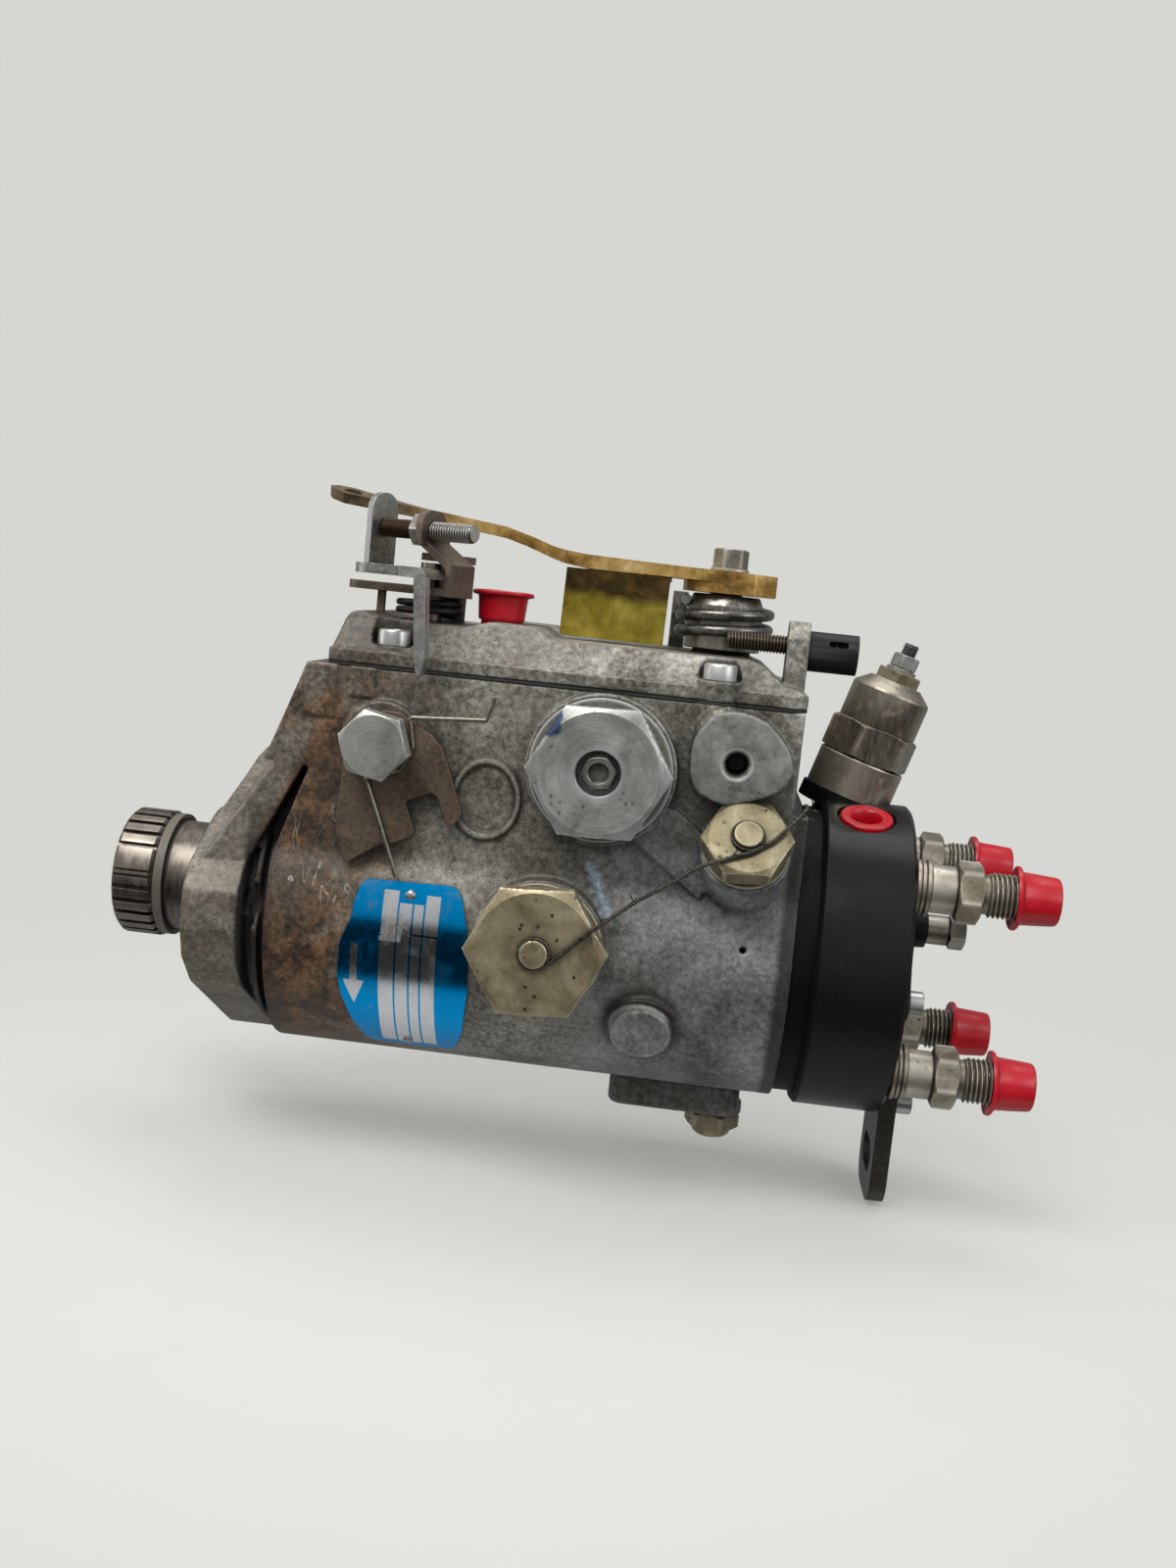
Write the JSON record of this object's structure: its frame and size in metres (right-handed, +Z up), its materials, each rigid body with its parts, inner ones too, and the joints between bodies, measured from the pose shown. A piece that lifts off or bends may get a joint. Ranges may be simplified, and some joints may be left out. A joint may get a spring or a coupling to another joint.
{
  "type": "diesel injection pump",
  "caption": "Rotary distributor diesel injection pump: three-eared flange, splined drive, governor cover, throttle and stop levers, black head with capped outlets and a solenoid.",
  "frame": {"origin": "on the drive axis, in the engine-side face of the mounting flange", "axes": "+X along the drive axis from the drive end to the outlets; +Z up to the governor cover; -Y the side with the plugs and the name plate"},
  "size_m": [0.2998, 0.1141, 0.217],
  "materials": {
    "cast_housing": "as-cast, stained brown and black",
    "gasket": "paper gasket",
    "zinc": "yellowed zinc plate",
    "bright_zinc": "bright zinc, turned",
    "blue_plate": "blue anodised, bare strips",
    "black_steel": "black oxide",
    "dark_steel": "dull dark steel",
    "wire": "drawn wire",
    "gold_chromate": "gold chromate on steel",
    "red_plastic": "moulded dust caps",
    "solenoid_steel": "tarnished plate",
    "terminal": "nut on a moulded insulator",
    "machined_steel": "ground steel",
    "bush_bronze": "plain bush"
  },
  "bodies": {
    "housing": {"pump_housing": "cast_housing", "governor_cover": "cast_housing", "cover_gasket": "gasket", "cover_screws": "bright_zinc", "name_plate": "blue_plate", "name_plate_rivets": "bright_zinc", "shaft_bush": "bush_bronze", "shaft_seal": "gasket", "governor_side_plug": "bright_zinc", "plug_adjuster": "bright_zinc", "inspection_plug": "zinc", "upper_vent_plug": "zinc", "seal_wire": "wire", "hydraulic_head": "black_steel", "end_plate": "black_steel", "head_end_screws": "black_steel", "regulating_valve": "dark_steel", "transfer_pump_liner": "machined_steel", "outlet_unions": "zinc", "outlet_washers": "zinc", "outlet_caps": "red_plastic", "inlet_plug": "red_plastic", "return_cap": "red_plastic", "solenoid_body": "solenoid_steel", "solenoid_terminal": "terminal", "support_bracket": "dark_steel", "advance_housing": "cast_housing", "locating_fitting": "zinc", "stop_bracket": "dark_steel", "anti_stall_screw": "dark_steel", "speed_stop_screw": "dark_steel", "screw_sleeve": "black_steel", "throttle_spring": "dark_steel", "spring_cup": "bright_zinc", "stop_spring": "black_steel", "governor_spring": "wire", "keeper_clip": "wire", "advance_spring": "wire"},
    "rotor": {"drive_shaft": "machined_steel", "governor_cage": "machined_steel", "governor_weights": "machined_steel", "distributor_rotor": "machined_steel", "pumping_plungers": "machined_steel", "rollers_and_shoes": "machined_steel", "transfer_pump_rotor": "machined_steel"},
    "sleeve": {"thrust_sleeve": "machined_steel"},
    "arm": {"governor_arm": "machined_steel"},
    "metering": {"metering_valve": "machined_steel"},
    "cam": {"cam_ring": "machined_steel"},
    "piston": {"advance_piston": "machined_steel"},
    "plunger": {"solenoid_plunger": "machined_steel"},
    "throttle": {"throttle_shaft": "machined_steel", "throttle_lever": "gold_chromate", "throttle_stop_plate": "gold_chromate", "throttle_lever_screw": "bright_zinc", "lever_tab": "gold_chromate"},
    "stop": {"stop_shaft": "dark_steel", "stop_lever": "dark_steel"},
    "lock_screw": {"locking_screw": "bright_zinc"},
    "keeper": {"keeper_plate": "dark_steel"}
  },
  "joints": [
    {"name": "drive_spin", "type": "hinge", "parent": "housing", "child": "rotor", "pos_m": [0, 0, 0], "axis": [1, 0, 0], "continuous": true},
    {"name": "sleeve_slide", "type": "slide", "parent": "rotor", "child": "sleeve", "axis": [1, 0, 0], "range_m": [0, 0.006], "stiffness_N_per_m": 400, "springref_m": -0.004},
    {"name": "arm_rock", "type": "hinge", "parent": "housing", "child": "arm", "pos_m": [0.101, 0, 0.066], "axis": [0, -1, 0], "range_deg": [0, 5.4]},
    {"name": "metering_turn", "type": "hinge", "parent": "housing", "child": "metering", "pos_m": [0.1715, 0.014, 0], "axis": [0, 0, -1], "range_deg": [0, 10]},
    {"name": "cam_turn", "type": "hinge", "parent": "housing", "child": "cam", "pos_m": [0, 0, 0], "axis": [1, 0, 0], "range_deg": [0, 7.9], "stiffness_Nm_per_rad": 1, "springref_deg": -5.73},
    {"name": "piston_slide", "type": "slide", "parent": "housing", "child": "piston", "axis": [0, 1, 0], "range_m": [0, 0.0071]},
    {"name": "plunger_lift", "type": "slide", "parent": "housing", "child": "plunger", "axis": [0.284, 0, 0.9588], "range_m": [0, 0.003], "stiffness_N_per_m": 600, "springref_m": -0.003},
    {"name": "throttle_turn", "type": "hinge", "parent": "housing", "child": "throttle", "pos_m": [0.1555, 0.002, 0.115], "axis": [0, 0, -1], "range_deg": [0, 42], "stiffness_Nm_per_rad": 0.35, "springref_deg": -22.92},
    {"name": "stop_turn", "type": "hinge", "parent": "housing", "child": "stop", "pos_m": [0.062, -0.014, 0.11], "axis": [0, 0, -1], "range_deg": [0, 25], "stiffness_Nm_per_rad": 0.2, "springref_deg": -17.19},
    {"name": "lock_screw_out", "type": "slide", "parent": "housing", "child": "lock_screw", "axis": [0, -1, 0], "range_m": [0, 0.008]},
    {"name": "keeper_turn", "type": "hinge", "parent": "housing", "child": "keeper", "pos_m": [0.0567, -0.047, 0.0573], "axis": [0, -1, 0], "range_deg": [0, 15]}
  ],
  "couplings": [
    {"joint": "arm_rock", "follows": "sleeve_slide", "rad_per_m": 15.15},
    {"joint": "metering_turn", "follows": "sleeve_slide", "rad_per_m": 26.5},
    {"joint": "piston_slide", "follows": "cam_turn", "m_per_rad": 0.0505}
  ]
}
